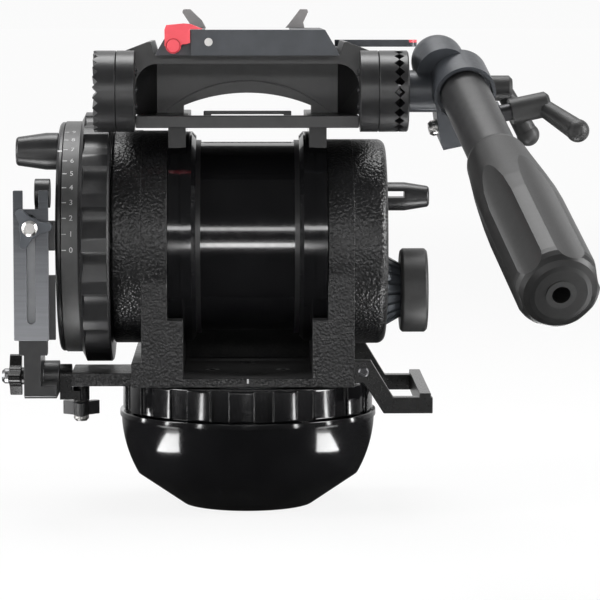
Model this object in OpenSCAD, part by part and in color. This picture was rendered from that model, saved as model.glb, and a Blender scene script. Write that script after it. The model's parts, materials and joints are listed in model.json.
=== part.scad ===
// Fluid video head on a 150 mm levelling ball, seen from the operator's side.
// Millimetres. +Z is up along the pan axis, +X is the handle side, -Y faces the operator.
// The origin is the mouth of the tie-down thread under the ball.

/* [Clearances] */
// Radial running fit of a turning pin in its bore
run_fit = 0.06; // [0.03:0.01:0.09]
// Gap between faces that move past each other
face_gap = 0.4; // [0.3:0.05:0.6]
// Gap between a turning piece and the seat that carries it
seat_gap = 0.3; // [0.25:0.05:0.5]

/* [Levelling ball] */
// Diameter of the levelling ball
ball_d = 150; // [140:1:155]
// Height of the ball centre above the flat underside
ball_h = 55.2; // [50:0.1:62]
// Depth of the visible ball zone below the ball centre
ball_zone = 36.7; // [30:0.1:42]
// Diameter of the flat underside
underside_d = 77; // [60:1:90]
// How far the rim lip stands out from the ball
lip_out = 0.8; // [0.4:0.1:2]
// Height of the rim lip
lip_h = 3.6; // [2:0.1:5]
// Radius of the tie-down thread core
tie_r = 5.1; // [4:0.1:6.5]
// Depth of the tie-down thread
tie_depth = 22; // [16:1:26]

/* [Pan stage] */
// Radius of the pan spindle
spindle_r = 12; // [9:0.5:14]
// Wall of the pan bearing ring
pan_bearing_t = 8; // [6:0.5:9]
// Wall of the yoke hub around the pan bearing
hub_wall = 13; // [11:0.5:13.5]
// Outer radius of the pan drag ring
pan_ring_r = 74; // [72:0.5:76]
// Wall of the pan drag ring
pan_ring_wall = 15.5; // [13:0.5:17]
// Height of the pan drag ring
pan_ring_h = 18.2; // [14:0.2:20]
// Number of grooves round the pan drag ring
pan_grooves = 18; // [12:1:24]
// Width of one pan ring groove in degrees
pan_groove_deg = 8.7; // [6:0.1:10]
// Depth of the pan ring grooves
pan_groove_depth = 2; // [1:0.1:3]

/* [Yoke] */
// Depth of the yoke, operator side to lens side
yoke_depth = 116; // [110:1:118]
// Half width over the uprights
yoke_half = 61.3; // [60:0.1:63]
// Thickness of the uprights
upright_t = 15; // [12:0.5:17]
// Thickness of the lower side blocks
block_t = 23.8; // [20:0.2:25]
// Height of the lower side blocks
block_h = 39; // [30:1:42]
// Thickness of the yoke floor
floor_t = 5.2; // [3:0.2:6]
// Thickness of the rear wall
rear_wall_t = 9; // [6:0.5:12]
// Height of the rear wall
rear_wall_h = 35; // [24:1:36]
// Height of the tilt axis above the yoke underside
axis_rise = 83; // [80:1:90]
// Radius of the left upright's round top
upright_r = 62.5; // [58:0.5:64]
// How far the right upright's round top is set lower
right_drop = 3; // [0:0.5:6]
// Extra width of the ledge at the foot of the left upright
ledge_w = 5.8; // [3:0.2:8]
// Height of that ledge
ledge_h = 14; // [8:0.5:16]
// Length of the tongue beyond the left upright
tongue_len = 40.7; // [36:0.5:41]
// Thickness of the tongue
tongue_t = 7.6; // [5:0.2:8]
// Distance of the yoke bolts from the pan axis
bolt_ring_r = 24; // [23.5:0.5:26]
// Radius of the yoke bolt heads
bolt_head_r = 4.15; // [3.5:0.05:4.5]

/* [Side housings] */
// How far the left housing stands proud of the round upright
left_housing_step = 0.2; // [0:0.1:1]
// Width of the left housing
left_housing_w = 17.1; // [12:0.1:19]
// Radius of the right housing
right_housing_r = 60.3; // [58:0.1:62]
// Width of the right housing
right_housing_w = 19.6; // [18:0.1:24]
// Rounding of the right housing's outer edge
right_housing_edge = 5; // [2:0.5:7]

/* [Tilt dial] */
// Outer radius of the dial's grip lands
dial_r = 73.6; // [71:0.1:74]
// Width of the dial's grip ring
dial_w = 17.8; // [14:0.1:19]
// Gap between the left housing and the dial
dial_gap = 0.6; // [0.4:0.1:3]
// Number of finger pockets round the dial
dial_pockets = 18; // [12:1:24]
// Width of one finger pocket in degrees
pocket_deg = 13.6; // [9:0.1:14]
// Depth of the finger pockets
pocket_depth = 2.8; // [1.5:0.1:3.5]
// Wall of the dial over the sleeve that carries it
dial_wall = 14.3; // [11:0.1:16]
// How far the numbered scale ring is set in from the grip lands
scale_step = 5.6; // [4.6:0.1:7.6]
// Width of the numbered scale ring
scale_w = 9.4; // [7:0.1:11]
// How far the fixed end cap is set in from the grip lands
cap_step = 6.1; // [4.6:0.1:8.6]
// Thickness of the fixed end cap
cap_t = 3.1; // [2.5:0.1:4]

/* [Tilt drum] */
// Radius of the drum
drum_r = 56; // [52:0.5:58]
// Width of each tilt collar
collar_w = 15.9; // [14:0.1:17]
// Width of the bright ring at each end of the drum
drum_ring_w = 3; // [2:0.25:4]
// How far that ring stands above the drum
drum_ring_up = 0.9; // [0.4:0.1:1.5]
// Radius of the two tilt collars
collar_r = 62; // [59:0.5:62.5]
// Radius of the tilt shaft
shaft_r = 12; // [10:0.5:14]
// Wall of the tilt bearings
tilt_bearing_t = 8; // [6:0.5:10]
// Half depth of the feet that carry the platform
foot_half = 31; // [24:1:34]

/* [Platform] */
// Height of the platform underside above the tilt axis
platform_rise = 66; // [65:0.5:72]
// Thickness of the platform plate
plate_t = 7; // [5:0.5:8]
// Half width of the platform plate
plate_half_x = 64; // [62:0.5:64]
// Half depth of the platform plate
plate_half_y = 50; // [48:0.5:52]
// Half width of the window in the platform plate
window_half_x = 34; // [30:0.5:35]
// Height of the deck's outer shoulders above the plate
shoulder_h = 42; // [40:0.5:44]
// Height of the receptacle seat above the plate
seat_h = 34.6; // [32:0.2:36]
// Thickness of the deck
deck_t = 5; // [4:0.5:7]
// Thickness of the upright web under the deck
web_t = 8; // [6:0.5:10]
// Radius of the arch opening in the web
arch_r = 98; // [80:1:110]
// Height of the arch opening above the plate
arch_h = 11.7; // [8:0.1:13]
// Half width of the arch opening at its feet
arch_half = 37.5; // [30:0.5:40]
// Radius of the raised rib over the arch
rib_r = 73.6; // [70:0.2:78]
// Height of the rib's top above the plate
rib_h = 18.5; // [16:0.1:22]
// How far the rib stands out from the web
rib_out = 5; // [2:0.5:7]

/* [Rosettes] */
// Radius of the toothed rosettes
rosette_r = 23.2; // [21:0.1:24]
// Distance of the rosette axis in front of the tilt axis
rosette_front = 55; // [52:0.5:57]
// Height of the rosette axis above the platform plate
rosette_h = 14.2; // [13:0.1:16]
// Thickness of each boss behind a rosette
boss_t = 10; // [8:0.5:12]
// Thickness of the left platform rosette
rosette_t = 13.1; // [11:0.1:15]
// Thickness of the right platform rosette
rosette_right_t = 11.7; // [10:0.1:14]
// Thickness of the rosette on the handle
handle_ros_t = 5.3; // [5:0.1:8]
// Number of rosette teeth
teeth = 24; // [16:2:24]
// Depth of the rosette teeth at the rim
tooth_depth = 2.9; // [1.5:0.1:3]
// Radius of the flat middle of a rosette
rosette_mid_r = 12; // [10:0.5:14]
// Radius of the accessory thread core in the left rosette
accessory_r = 3.97; // [3:0.01:4.5]
// Depth of that thread
accessory_depth = 10; // [6:0.5:10]

/* [Plate receptacle] */
// Half width of the receptacle at its foot
recept_half = 52; // [50:0.5:53]
// Half width of the receptacle at its top
recept_top_half = 44.2; // [42:0.2:46]
// Height of the receptacle
recept_h = 14.6; // [12:0.2:18]
// Front end of the receptacle, ahead of the tilt axis
recept_front = 62; // [58:0.5:66]
// Rear end of the receptacle, behind the tilt axis
recept_rear = 70; // [62:0.5:74]
// Half width of the camera plate channel at its mouth
channel_half = 25; // [22:0.5:28]
// Undercut of the channel's flanks
channel_undercut = 3; // [1:0.5:5]
// Depth of the channel
channel_depth = 8; // [6:0.2:10]
// Thickness of the receptacle's closed front end
end_wall = 12; // [8:0.5:16]
// Thickness of the red release lever
release_t = 7; // [6:0.5:9]
// Radius of the release button
release_button_r = 3.7; // [3:0.1:4]
// Travel of the release button
button_travel = 1.5; // [1:0.1:2]
// Length of the plate lock lever
lock_len = 40; // [34:0.5:44]
// Width of the plate lock lever
lock_w = 10; // [8:0.5:12]
// Thickness of the plate lock lever
lock_t = 4.2; // [3:0.1:5]

/* [Handle] */
// How far the handle slopes down in degrees
handle_pitch = 24.6; // [15:0.1:30]
// How far the handle splays outward in degrees
handle_yaw = 9.66; // [6:0.1:12]
// Sideways distance of the tube clamp from the pan axis
clamp_x = 124; // [123:0.5:128]
// Distance of the tube clamp in front of the rosette axis
clamp_front = 20; // [19:0.5:24]
// Drop of the tube clamp below the rosette axis
clamp_drop = 3.6; // [0:0.1:5]
// Radius of the handle tube
tube_r = 14; // [12:0.25:14.5]
// Wall of the tube clamp
clamp_wall = 3.8; // [3:0.1:6]
// Length of the tube clamp
clamp_len = 23; // [20:0.5:26]
// How far the tube clamp is rolled round the tube in degrees
clamp_roll = 12.8; // [5:0.1:20]
// Distance of the clamp bolt below the tube
bolt_drop = 25.2; // [24:0.2:28]
// Distance from the tube clamp to the grip
grip_start = 72; // [65:1:90]
// Length of the grip
grip_len = 149.6; // [120:0.2:160]
// Largest radius of the grip
grip_r = 22.8; // [19:0.1:24]
// Radius of the grip behind its rounded start
grip_neck_r = 17.3; // [16.5:0.1:18.5]
// Number of flutes round the grip
grip_flutes = 6; // [4:1:6]
// Depth of the grip flutes
flute_depth = 2.8; // [1:0.1:3]
// Radius of the hole in the grip's end
grip_hole_r = 4.8; // [3:0.1:6]
// Radius of the handle's cross boss
cross_r = 12; // [10:0.5:13]
// Radius of the domed socket behind the clamp
dome_r = 15.2; // [13:0.2:16]

/* [Clamp levers] */
// Radius of a clamp lever's hub
lever_hub_r = 7.4; // [7:0.1:9]
// Length of the front lever's hub
front_hub_len = 23; // [14:0.5:24]
// Length of the rear lever's hub
rear_hub_len = 13; // [10:0.5:16]
// Radius of the lever studs
stud_r = 3.4; // [2.5:0.1:4]
// Reach of a lever arm, square to its hub
lever_reach = 27; // [22:0.5:30]
// How far a lever arm leans outward
lever_lean = 15; // [10:0.5:18]
// Radius of a lever's rounded end
lever_end_r = 6.7; // [5:0.1:7]

/* [Side knobs] */
// Radius of the counterbalance knob
cb_knob_r = 10.8; // [8:0.1:11.5]
// Length of the counterbalance knob
cb_knob_len = 24.6; // [18:0.1:28]
// Radius of the tilt lock knob
lock_knob_r = 8.4; // [7:0.1:10]
// Length of the tilt lock knob
lock_knob_len = 25.9; // [20:0.1:28]
// Height of the slot through the tilt lock knob
lock_slot = 3.8; // [2:0.1:3.9]
// Radius of the drag knob
drag_knob_r = 24.8; // [20:0.2:26]
// Thickness of the drag knob
drag_knob_t = 16; // [12:0.5:20]
// Length of the drag knob's ribbed hub
drag_hub_len = 8.8; // [5:0.1:11]
// Number of ribs round that hub
drag_ribs = 20; // [16:2:24]
// Radius of the hidden knob stems
stem_r = 3; // [2.5:0.1:3.5]
// Length of the hidden knob stems
stem_len = 8; // [5:0.5:10]

/* [Carry handle] */
// Thickness of the carry handle's arms
carry_arm_t = 8; // [6:0.5:10]
// Reach of the carry handle from the yoke
carry_reach = 45.2; // [40:0.2:46]
// Width of the carry handle's cross bar
carry_bar_w = 6.6; // [5:0.2:9]

/* [Leveller] */
// Distance of the leveller's swing axis in front of the tilt axis
swing_front = 40; // [36:0.5:42]
// Height of the swing axis above the yoke underside
swing_h = 5; // [3:0.5:6]
// Radius of the leveller's knuckle
knuckle_r = 6.9; // [6:0.1:7.2]
// Radius of the swing bolt
swing_bolt_r = 3; // [2.5:0.1:3.5]
// Width of the leveller's sliding plate
slider_w = 19.8; // [17:0.2:22]
// Thickness of the sliding plate
slider_t = 4; // [3:0.25:5]
// Length of the sliding plate
slider_len = 85.3; // [80:0.5:90]
// Width of the slot in the sliding plate
slider_slot = 4.9; // [4.6:0.1:6]
// Width of the notch in the top of the sliding plate
notch_w = 9; // [7:0.2:11]
// Depth of that notch
notch_depth = 10.5; // [8:0.5:12]
// Reach of the lobes of the three-lobed knobs
lobe_reach = 12.4; // [10:0.2:13]
// Radius of the button-head screws in the knobs
button_head_r = 4.4; // [3:0.1:5]

/* [Output] */
// Piece to draw, or all of them

/* [Hidden] */
$fn = 96;
eps = 0.01;
ball_r = ball_d / 2;
zone_z = ball_h - ball_zone;
zone_r = sqrt(ball_r * ball_r - ball_zone * ball_zone);
lip_above = 0.8;
rim_z = ball_h + lip_above;
lip_r = ball_r + lip_out;
ring_z = rim_z + face_gap;
yoke_z = ring_z + pan_ring_h + face_gap;
tilt_z = yoke_z + axis_rise;
right_z = tilt_z - right_drop;
spindle_z = tie_depth + 8;
pan_bearing_r = spindle_r + pan_bearing_t;
hub_bore_r = pan_bearing_r + run_fit;
hub_r = hub_bore_r + hub_wall;
hub_h = 14;
cup_in_r = hub_r + 0.9;
ring_in_r = pan_ring_r - pan_ring_wall;
cup_out_r = ring_in_r - seat_gap;
cup_groove_in = cup_in_r + 4;
cup_groove_out = cup_out_r - 6;
rotor_film = 1;

upright_in = yoke_half - upright_t;
block_in = yoke_half - block_t;
half_depth = yoke_depth / 2;
floor_z = yoke_z + floor_t;
block_z = yoke_z + block_h;
rear_wall_z = yoke_z + rear_wall_h;
tongue_x = -yoke_half - tongue_len;
tongue_front = 50;
tongue_rear = 6;
carry_drop = 15.1;
bolt_shank_r = 2.5;
bolt_head_h = 2;
bolt_len = 12;

left_housing_r = upright_r + left_housing_step;
housing_l = -yoke_half - left_housing_w;
housing_r = yoke_half + right_housing_w;
dial_x = housing_l - dial_gap;
dial_left = dial_x - dial_w;
scale_left = dial_left - scale_w;
sleeve_left = scale_left - face_gap;
cap_left = sleeve_left - cap_t;
dial_bore = dial_r - dial_wall;
sleeve_r = dial_bore - seat_gap;
scale_r = dial_r - scale_step;
cap_r = dial_r - cap_step;

collar_out = upright_in - face_gap;
collar_in = collar_out - collar_w;
drum_half = collar_in - drum_ring_w;
tilt_bearing_r = shaft_r + tilt_bearing_t;
saddle_r = collar_r + face_gap;
platform_z = tilt_z + platform_rise;
plate_top = platform_z + plate_t;
seat_z = plate_top + seat_h;
shoulder_z = plate_top + shoulder_h;
deck_under = seat_z - deck_t;
rosette_z = plate_top + rosette_h;
boss_in = plate_half_x + seat_gap;
boss_out = boss_in + boss_t;
rosette_out = boss_out + rosette_t;
rosette_right_out = boss_out + rosette_right_t;
mid_sink = 0.2;
rosette_floor = rosette_out - tooth_depth - mid_sink;
web_y = 4;
cheek_in = boss_in;
cheek_out = boss_out - 1.8;
cheek_front = -44;
cheek_rear = 46;

recept_top = seat_z + recept_h;
channel_z = recept_top - channel_depth;
release_x = -42;
release_z = seat_z + 5.6;
release_back = -recept_front + release_t - 1;
release_front = release_back - seat_gap - release_t;
release_edge = -32.2;
release_over = recept_top + seat_gap - release_z;
release_end_r = release_button_r + 0.7;
release_pin_r = 2.4;
release_pin_len = 2.6;
button_well = button_travel + 1.3;
button_proud = 1.2;
button_root = button_well - button_travel - seat_gap;
lock_x = 58;
lock_y = 60;
lock_z = seat_z + 3.2;
lock_pin_r = 2.5;
tip_t = 1.6;

handle_c = [clamp_x, -rosette_front - clamp_front, rosette_z - clamp_drop];
clamp_r = tube_r + clamp_wall;
tube_bore = tube_r + run_fit;
clamp_front_t = -4;
clamp_back_t = clamp_front_t - clamp_len;
tube_back = -clamp_back_t - 3;
handle_ros_x = rosette_right_out + seat_gap;
cross_x = handle_ros_x + handle_ros_t;
cross_end = clamp_x + 11.6;
dome_back = 36.8;
dome_side = -9.7;
dome_up = 5.6;
grip_end = grip_start + grip_len;

bolt_t = clamp_back_t + 7;
lug_left = -16.5;
lug_low = -bolt_drop - 11.3;
bolt_boss_x = tube_r + 7;
front_hub_x = bolt_boss_x + 6.4;
stud_collar_r = 5;
rear_lever = [clamp_x + 15.8, -rosette_front + 30, rosette_z + 0.8];
rear_hub_x = rear_lever[0] + 1;
knuckle_x = cross_x + 14.7;
clamp_head_r = 4.6;
clamp_head_h = 4.6;

cb_y = -20;
cb_z = tilt_z + cap_r - 16.2;
lock_knob_z = tilt_z + 23.5;
drag_knob_z = tilt_z - 32.1;
lock_knob_x = housing_r + seat_gap;
drag_hub_x = housing_r + seat_gap;
drag_disc_x = drag_hub_x + drag_hub_len;
cb_x = cap_left - seat_gap;

swing_z = yoke_z + swing_h;
swing_y = -swing_front;
knuckle_l = tongue_x - 6.7;
arm_r = knuckle_l - seat_gap;
arm_l = arm_r - 18.6;
arm_knob_r = arm_l - 3.6;
slider_x = arm_r - 13.8;
slider_back = -72;
slider_front = slider_back - slider_t;
post_front = slider_back + seat_gap;
post_back = post_front + 8.7;
slider_z = swing_z + 24.4;
slider_top = slider_z + slider_len;
knob_z = slider_top - 20.8;
slot_low = slider_z + 12;
slot_high = slider_top - notch_depth - 5.5;
barrel_y = -63.2;
barrel_z = slider_top - 2.2;
barrel_r = 8.3;
knob_stud_r = slider_slot / 2 - 0.15;
plate_knob_y = slider_front - seat_gap;
plate_knob_t = 7;
wing_x = tongue_x + 5;
wing_y = swing_y + 5;
jaw_z = yoke_z - 8.1;
foot_collar_r = 4.8;
foot_collar_z = jaw_z - 1.3;
wing_top = foot_collar_z - seat_gap;
strip_half = 4;
strip_t = 1.5;
strip_low = slot_low - 6;
strip_high = slot_high + 3;

// Cylinder along X between two stations
module rod_x(r, x0, x1) {
  translate([x0, 0, 0])
    rotate([0, 90, 0])
      cylinder(r = r, h = x1 - x0);
}

// Cone along X from radius ra at x0 to rb at x1
module cone_x(ra, rb, x0, x1) {
  translate([x0, 0, 0])
    rotate([0, 90, 0])
      cylinder(r1 = ra, r2 = rb, h = x1 - x0);
}

// Cylinder along Y between two stations
module rod_y(r, y0, y1) {
  translate([0, y0, 0])
    rotate([-90, 0, 0])
      cylinder(r = r, h = y1 - y0);
}

// Tube along X
module pipe_x(ro, ri, x0, x1) {
  difference() {
    rod_x(ro, x0, x1);
    rod_x(ri, x0 - 1, x1 + 1);
  }
}

// Tube along Z
module pipe_z(ro, ri, z0, z1) {
  translate([0, 0, z0])
    difference() {
      cylinder(r = ro, h = z1 - z0);
      translate([0, 0, -1])
        cylinder(r = ri, h = z1 - z0 + 2);
    }
}

// Box between two corners
module block(a, b) {
  translate(a)
    cube([b[0] - a[0], b[1] - a[1], b[2] - a[2]]);
}

// Profile drawn in Y and Z, extruded along X
module along_x(x0, x1) {
  translate([x0, 0, 0])
    rotate([90, 0, 90])
      linear_extrude(height = x1 - x0)
        children();
}

// Profile drawn in X and Z, extruded along Y
module along_y(y0, y1) {
  translate([0, y1, 0])
    rotate([90, 0, 0])
      linear_extrude(height = y1 - y0)
        children();
}

module at_tilt() {
  translate([0, 0, tilt_z])
    children();
}

module at_rosette() {
  translate([0, -rosette_front, rosette_z])
    children();
}

// Local +Z runs down the handle tube, local +Y points up
module at_handle() {
  translate(handle_c)
    rotate([90 + handle_pitch, 0, handle_yaw])
      children();
}

// The handle frame rolled round the tube, with the clamp bolt along local X
module at_clamp() {
  at_handle()
    rotate([0, 0, clamp_roll])
      children();
}

// Origin on the clamp bolt, where it passes under the tube
module at_bolt() {
  at_clamp()
    translate([0, -bolt_drop, bolt_t])
      children();
}

// Revolve round the X axis, profile drawn as [radius, x]
module turn_x(deg) {
  rotate([0, 90, 0])
    rotate_extrude(angle = deg)
      children();
}

// Radial V grooves in a face that looks along +X at x = 0
module tooth_grooves() {
  slope = atan(tooth_depth / rosette_r);
  wide = tooth_depth * 1.6;
  reach = rosette_r + 3 - rosette_mid_r;
  for (i = [0 : teeth - 1])
    rotate([i * 360 / teeth, 0, 0])
      rotate([0, -slope, 0])
        translate([0, 0, rosette_mid_r - 1])
          rotate([0, 0, -45])
            cube([wide, wide, reach]);
}

// Toothed disc from x0 to x1 with its teeth at x1
module toothed_disc(x0, x1) {
  rim = 0.8;
  difference() {
    union() {
      cone_x(rosette_r - rim, rosette_r, x0, x0 + rim);
      rod_x(rosette_r, x0 + rim, x1);
    }
    translate([x1, 0, 0])
      tooth_grooves();
    rod_x(rosette_mid_r, x1 - tooth_depth - mid_sink, x1 + 1);
  }
}

// Screw head along +X from x0, domed, with a socket of radius hex_r
module button_head_x(r, x0, h, hex_r) {
  difference() {
    union() {
      rod_x(r, x0, x0 + h * 0.6);
      cone_x(r, r * 0.72, x0 + h * 0.6, x0 + h);
    }
    translate([x0 + h * 0.45, 0, 0])
      rotate([0, 90, 0])
        cylinder(r = hex_r, h = h, $fn = 6);
  }
}

// Outline of a three-lobed knob with a hub of radius hub
module three_lobes(reach, hub) {
  tip = 2.4;
  root = 4.6;
  circle(r = hub);
  for (a = [4, 124, 249])
    rotate(a) {
      polygon([[0, -root], [reach - tip, -tip], [reach - tip, tip], [0, root]]);
      translate([reach - tip, 0])
        circle(r = tip);
    }
}

// Lever with its hub along +X and its arm reaching along -Y
module clamp_handle(hub_len) {
  arm_r0 = 5;
  end_step = 0.4;
  lean = atan(lever_lean / lever_reach);
  arm_len = sqrt(lever_lean * lever_lean + lever_reach * lever_reach);
  arm_x = hub_len - arm_r0 - 0.5;
  rod_x(lever_hub_r, 0, hub_len - 2);
  cone_x(lever_hub_r, lever_hub_r - 2, hub_len - 2, hub_len);
  translate([arm_x, 0, 0]) {
    rotate([0, 0, lean])
      rotate([90, 0, 0])
        rotate([0, 0, 40])
          cylinder(r1 = arm_r0, r2 = lever_end_r - end_step, h = arm_len);
    translate([lever_lean, -lever_reach, 0])
      sphere(r = lever_end_r);
  }
}

module ball_base() {
  color([0.03, 0.03, 0.035])
    difference() {
      union() {
        cylinder(r1 = underside_d / 2, r2 = zone_r, h = zone_z);
        intersection() {
          translate([0, 0, ball_h])
            sphere(r = ball_r);
          translate([0, 0, zone_z])
            cylinder(r = ball_d, h = ball_zone);
        }
        translate([0, 0, rim_z - lip_h])
          cylinder(r = lip_r, h = lip_h);
      }
      translate([0, 0, -1])
        cylinder(r = tie_r, h = tie_depth + 1);
      translate([0, 0, spindle_z])
        cylinder(r = spindle_r, h = rim_z);
    }
}

module pan_spindle() {
  flange_h = 0.5;
  color([0.6, 0.6, 0.62]) {
    translate([0, 0, spindle_z])
      cylinder(r = spindle_r, h = yoke_z - face_gap - spindle_z);
    translate([0, 0, yoke_z - face_gap - flange_h])
      cylinder(r = spindle_r + 3, h = flange_h);
  }
}

module pan_bearing() {
  color([0.55, 0.55, 0.57])
    pipe_z(pan_bearing_r, spindle_r, ring_z + 4, yoke_z - face_gap - 0.5);
}

module pan_fluid_cup() {
  color([0.3, 0.3, 0.32])
    difference() {
      pipe_z(cup_out_r, cup_in_r, rim_z, yoke_z - face_gap);
      pipe_z(cup_groove_out, cup_groove_in, rim_z + 2, yoke_z + 1);
    }
}

module pan_drag_ring() {
  front_deg = -102.85;
  edge = 0.8;
  color([0.03, 0.03, 0.035])
    translate([0, 0, ring_z])
      difference() {
        rotate_extrude()
          polygon([
            [ring_in_r, 0], [pan_ring_r - edge, 0], [pan_ring_r, edge],
            [pan_ring_r, pan_ring_h - edge], [pan_ring_r - edge, pan_ring_h], [ring_in_r, pan_ring_h]
          ]);
        for (i = [0 : pan_grooves - 1])
          rotate([0, 0, front_deg + i * 360 / pan_grooves - pan_groove_deg / 2])
            rotate_extrude(angle = pan_groove_deg)
              translate([pan_ring_r - pan_groove_depth, -1])
                square([pan_groove_depth + 1, pan_ring_h + 2]);
      }
}

// Side outline of one upright with its round top at height top_z
module upright_outline(top_z, r) {
  translate([-half_depth, yoke_z])
    square([yoke_depth, top_z - yoke_z]);
  translate([0, top_z])
    circle(r = r);
}

module yoke_casting() {
  color([0.05, 0.05, 0.055])
    difference() {
      union() {
        block([-yoke_half, -half_depth, yoke_z], [yoke_half, half_depth, floor_z]);
        block([-yoke_half, -half_depth, yoke_z], [-block_in, half_depth, block_z]);
        block([block_in, -half_depth, yoke_z], [yoke_half, half_depth, block_z]);
        along_x(-yoke_half, -upright_in)
          upright_outline(tilt_z, upright_r);
        along_x(upright_in, yoke_half)
          upright_outline(right_z, right_housing_r);
        block([-upright_in, half_depth - rear_wall_t, yoke_z], [upright_in, half_depth, rear_wall_z]);
        block([-yoke_half - ledge_w, -half_depth, yoke_z], [-upright_in, half_depth, yoke_z + ledge_h]);
        block([tongue_x, -tongue_front, yoke_z], [-upright_in, -tongue_rear, yoke_z + tongue_t]);
        translate([0, 0, yoke_z - hub_h])
          cylinder(r = hub_r, h = hub_h + floor_t);
      }
      at_tilt()
        rod_x(saddle_r, -upright_in, upright_in);
      at_tilt()
        rod_x(shaft_r, -yoke_half - 1, yoke_half + 1);
      translate([0, 0, yoke_z - hub_h - 1])
        cylinder(r = hub_bore_r, h = hub_h + 1);
      for (a = [90, 210, 330])
        rotate([0, 0, a])
          translate([bolt_ring_r, 0, floor_z - bolt_head_h]) {
            cylinder(r = bolt_head_r, h = bolt_head_h + 1);
            translate([0, 0, -bolt_len])
              cylinder(r = bolt_shank_r, h = bolt_len + 1);
          }
      translate([wing_x, wing_y, yoke_z - 1])
        cylinder(r = stem_r + run_fit, h = 5);
    }
}

module yoke_bolts() {
  socket_r = 2.2;
  color([0.08, 0.08, 0.09])
    for (a = [90, 210, 330])
      rotate([0, 0, a])
        translate([bolt_ring_r, 0, floor_z - bolt_head_h])
          difference() {
            union() {
              cylinder(r = bolt_head_r, h = bolt_head_h);
              translate([0, 0, -bolt_len])
                cylinder(r = bolt_shank_r, h = bolt_len);
            }
            translate([0, 0, 0.6])
              cylinder(r = socket_r, h = bolt_head_h, $fn = 6);
          }
}

module pan_fluid_rotor() {
  color([0.45, 0.45, 0.47])
    pipe_z(cup_groove_out - rotor_film, cup_groove_in + rotor_film, rim_z + 2 + rotor_film, yoke_z);
}

module left_housing() {
  bevel = 1.2;
  color([0.05, 0.05, 0.055])
    at_tilt()
      difference() {
        union() {
          rod_x(left_housing_r, housing_l + bevel, -yoke_half);
          cone_x(left_housing_r - bevel, left_housing_r, housing_l, housing_l + bevel);
          rod_x(sleeve_r, sleeve_left, housing_l);
        }
        rod_x(shaft_r, -yoke_half - stem_len, -yoke_half + 1);
        translate([0, cb_y, cb_z - tilt_z])
          rod_x(stem_r + run_fit, sleeve_left - 1, sleeve_left + stem_len);
      }
}

module dial_end_cap() {
  edge = 1.2;
  color([0.04, 0.04, 0.045])
    at_tilt()
      difference() {
        union() {
          rod_x(cap_r, cap_left + edge, sleeve_left);
          cone_x(cap_r - edge, cap_r, cap_left, cap_left + edge);
        }
        translate([0, cb_y, cb_z - tilt_z])
          rod_x(stem_r + run_fit, cap_left - 1, sleeve_left + 1);
      }
}

module right_housing() {
  f = right_housing_edge;
  r = right_housing_r;
  w = right_housing_w;
  color([0.05, 0.05, 0.055])
    difference() {
      translate([yoke_half, 0, right_z])
        turn_x(360) {
          square([r - f, w]);
          square([r, w - f]);
          translate([r - f, w - f])
            circle(r = f);
        }
      at_tilt()
        rod_x(shaft_r, yoke_half - 1, yoke_half + stem_len);
      translate([0, 0, lock_knob_z])
        rod_x(stem_r + run_fit, housing_r - stem_len, housing_r + 1);
      translate([0, 0, drag_knob_z])
        rod_x(stem_r + run_fit, housing_r - stem_len, housing_r + 1);
    }
}

module tilt_shaft() {
  color([0.6, 0.6, 0.62])
    at_tilt()
      rod_x(shaft_r, -yoke_half - stem_len, yoke_half + stem_len);
}

// Dog-leg outline of one carry handle arm in X and Z
module carry_outline() {
  x0 = yoke_half;
  x1 = yoke_half + carry_reach;
  rise = 15.5;
  shoulder = 9.5;
  elbow = 22.5;
  foot_h = 9.3;
  heel = 16.9;
  knee = 8.6;
  knee_drop = 2;
  root = 4.7;
  root_h = 2.6;
  top = yoke_z + rise;
  low = yoke_z - carry_drop;
  polygon([
    [x0, top], [x0 + shoulder, top], [x0 + elbow, low + foot_h], [x1, low + foot_h], [x1, low],
    [x0 + heel, low], [x0 + knee, yoke_z - knee_drop], [x0 + root, yoke_z + root_h], [x0, yoke_z + root_h]
  ]);
}

module carry_handle() {
  x1 = yoke_half + carry_reach - 1;
  low = yoke_z - carry_drop;
  bar_h = 11.7;
  color([0.05, 0.05, 0.05]) {
    along_y(-half_depth, -half_depth + carry_arm_t)
      carry_outline();
    along_y(half_depth - carry_arm_t, half_depth)
      carry_outline();
    block([x1 - carry_bar_w, -half_depth, low], [x1, half_depth, low + bar_h]);
  }
}

module carry_handle_screws() {
  head_r = 3;
  head_h = 1.6;
  color([0.1, 0.1, 0.1])
    for (s = [-1, 1])
      translate([yoke_half + 5.2, s * half_depth, yoke_z + 9])
        rotate([0, 0, s * 90])
          button_head_x(head_r, 0, head_h, 1.4);
}

module leveller_foot() {
  link_top = yoke_z - 3;
  color([0.06, 0.06, 0.065])
    difference() {
      union() {
        block([knuckle_l, swing_y - knuckle_r, jaw_z], [wing_x, swing_y + knuckle_r + 2, link_top]);
        block([knuckle_l, swing_y - knuckle_r, jaw_z], [tongue_x, swing_y + knuckle_r, swing_z]);
        translate([0, swing_y, swing_z])
          rod_x(knuckle_r, knuckle_l, tongue_x);
        translate([wing_x, wing_y, foot_collar_z])
          cylinder(r = foot_collar_r, h = yoke_z - foot_collar_z);
      }
      translate([0, swing_y, swing_z])
        rod_x(swing_bolt_r + run_fit, knuckle_l - 1, tongue_x + 1);
      translate([wing_x, wing_y, foot_collar_z - 1])
        cylinder(r = stem_r + run_fit, h = yoke_z - foot_collar_z + 2);
    }
}

module tilt_drum() {
  wall = 7;
  color([0.03, 0.03, 0.035])
    at_tilt()
      pipe_x(drum_r, drum_r - wall, -collar_in, collar_in);
}

module drum_rings() {
  lip = 0.25;
  color([0.06, 0.06, 0.065])
    at_tilt()
      for (s = [0, 1])
        mirror([s, 0, 0])
          pipe_x(drum_r + drum_ring_up, drum_r, drum_half + lip, collar_in);
}

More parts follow.
